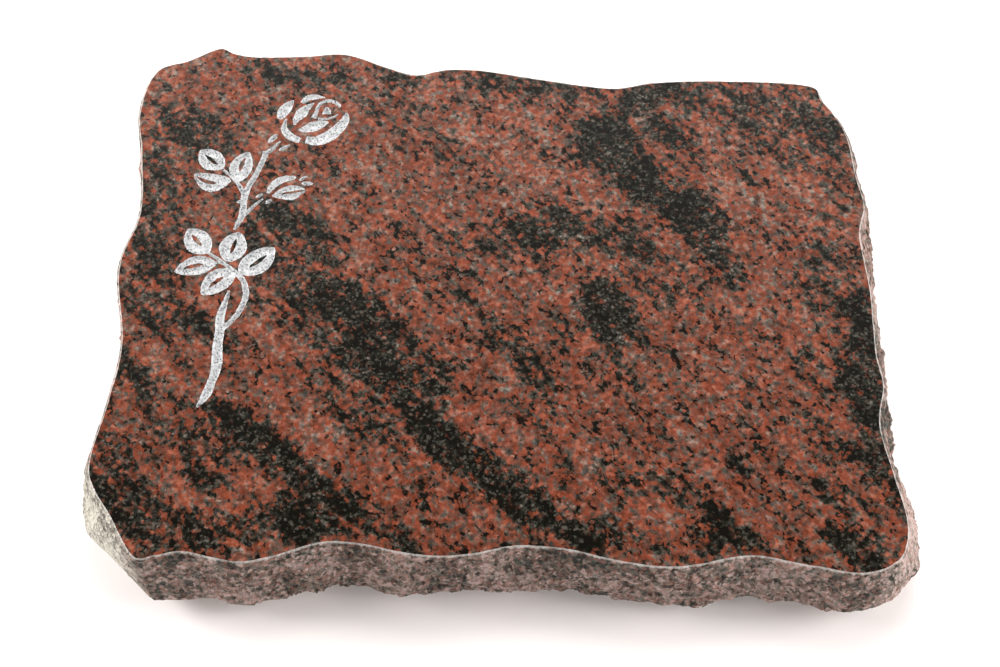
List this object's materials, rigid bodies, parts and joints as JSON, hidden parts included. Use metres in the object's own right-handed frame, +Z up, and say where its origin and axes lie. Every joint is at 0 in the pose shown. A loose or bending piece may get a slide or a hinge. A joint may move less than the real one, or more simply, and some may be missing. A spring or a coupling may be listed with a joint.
{
  "type": "flat grave marker",
  "caption": "Flat granite grave marker slab with a polished face, hand-pitched wavy edges and a sunk rose spray, for lying on a grave.",
  "frame": {"origin": "middle of the overall box, at the level of the sawn bed", "axes": "+X along the slab's length, to the reader's right; +Y away from the reader; +Z up out of the polished face"},
  "size_m": [0.4058, 0.316, 0.045],
  "materials": {
    "granite": "red and black multicolour granite: polished face, broken rough edges, sawn bed, blasted rose toned silver"
  },
  "bodies": {
    "root": {"slab": "granite"}
  },
  "joints": []
}
